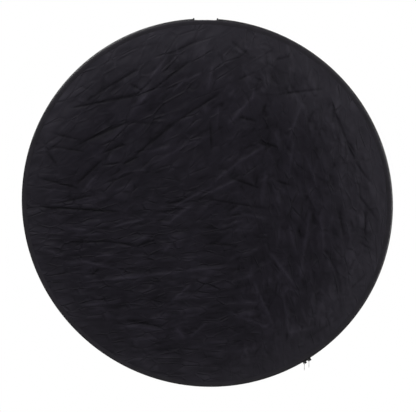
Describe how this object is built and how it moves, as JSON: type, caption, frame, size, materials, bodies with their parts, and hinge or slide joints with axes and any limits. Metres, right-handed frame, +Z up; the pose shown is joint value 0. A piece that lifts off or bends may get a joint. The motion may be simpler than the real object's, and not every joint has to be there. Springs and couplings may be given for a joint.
{
  "type": "collapsible reflector disc",
  "caption": "Round collapsible light reflector, black fabric side out, on a sprung steel hoop, with a reversible cover closed by a zip round the rim.",
  "frame": {"origin": "centre of the disc, half way through its thickness", "axes": "-Y out of the black face, +Z up through the fabric hinge of the cover, X across; the disc stands upright"},
  "size_m": [1.1, 0.0132, 1.1006],
  "materials": {
    "black_fabric": "thin woven black nylon, soft sheen, creased",
    "white_fabric": "matt white woven nylon",
    "silver_fabric": "metallised silver cloth",
    "gold_fabric": "metallised gold cloth",
    "diffuser_fabric": "translucent white cloth",
    "sleeve_fabric": "white sewn tape",
    "binding_tape": "satin black edge binding",
    "zip_tape": "matt black knitted zip tape",
    "zip_coil": "black nylon coil",
    "spring_steel": "bare flat spring steel",
    "black_lacquer": "black lacquered zinc",
    "nickel_plate": "satin nickel plate"
  },
  "bodies": {
    "right_half": {"hoop_band_right": "spring_steel", "hoop_sleeve_right": "sleeve_fabric", "diffuser_panel_right": "diffuser_fabric", "silver_lining_right": "silver_fabric", "gold_lining_right": "gold_fabric", "black_face_right": "black_fabric", "white_face_right": "white_fabric", "front_binding_right": "binding_tape", "back_binding_right": "binding_tape", "front_zip_tape_right": "zip_tape", "back_zip_tape_right": "zip_tape", "front_zip_coil_right": "zip_coil", "back_zip_coil_right": "zip_coil", "hinge_strip_right": "binding_tape", "zip_stop_right": "zip_coil", "hoop_ferrule": "spring_steel"},
    "left_half": {"hoop_band_left": "spring_steel", "hoop_sleeve_left": "sleeve_fabric", "diffuser_panel_left": "diffuser_fabric", "silver_lining_left": "silver_fabric", "gold_lining_left": "gold_fabric", "black_face_left": "black_fabric", "white_face_left": "white_fabric", "front_binding_left": "binding_tape", "back_binding_left": "binding_tape", "front_zip_tape_left": "zip_tape", "back_zip_tape_left": "zip_tape", "front_zip_coil_left": "zip_coil", "back_zip_coil_left": "zip_coil", "hinge_strip_left": "binding_tape", "zip_stop_left": "zip_coil"},
    "slider_right": {"zip_slider_right": "black_lacquer"},
    "slider_left": {"zip_slider_left": "black_lacquer"},
    "pull_right": {"zip_pull_right": "nickel_plate"},
    "pull_left": {"zip_pull_left": "nickel_plate"}
  },
  "joints": [
    {"name": "fold", "type": "hinge", "parent": "right_half", "child": "left_half", "pos_m": [0, -0.008, 0], "axis": [0, 0, 1], "range_deg": [0, 170], "stiffness_Nm_per_rad": 0.75},
    {"name": "right_slider_travel", "type": "hinge", "parent": "right_half", "child": "slider_right", "pos_m": [0, 0, 0], "axis": [0, 1, 0], "range_deg": [-141.5, 0]},
    {"name": "left_slider_travel", "type": "hinge", "parent": "right_half", "child": "slider_left", "pos_m": [0, 0, 0], "axis": [0, -1, 0], "range_deg": [-207.9, 0]},
    {"name": "right_pull_swing", "type": "hinge", "parent": "slider_right", "child": "pull_right", "pos_m": [0.30848, 0, -0.46081], "axis": [0, -1, 0], "range_deg": [-22, 122]},
    {"name": "left_pull_swing", "type": "hinge", "parent": "slider_left", "child": "pull_left", "pos_m": [0.29492, 0, -0.46968], "axis": [0, 1, 0], "range_deg": [-28, 56]}
  ]
}
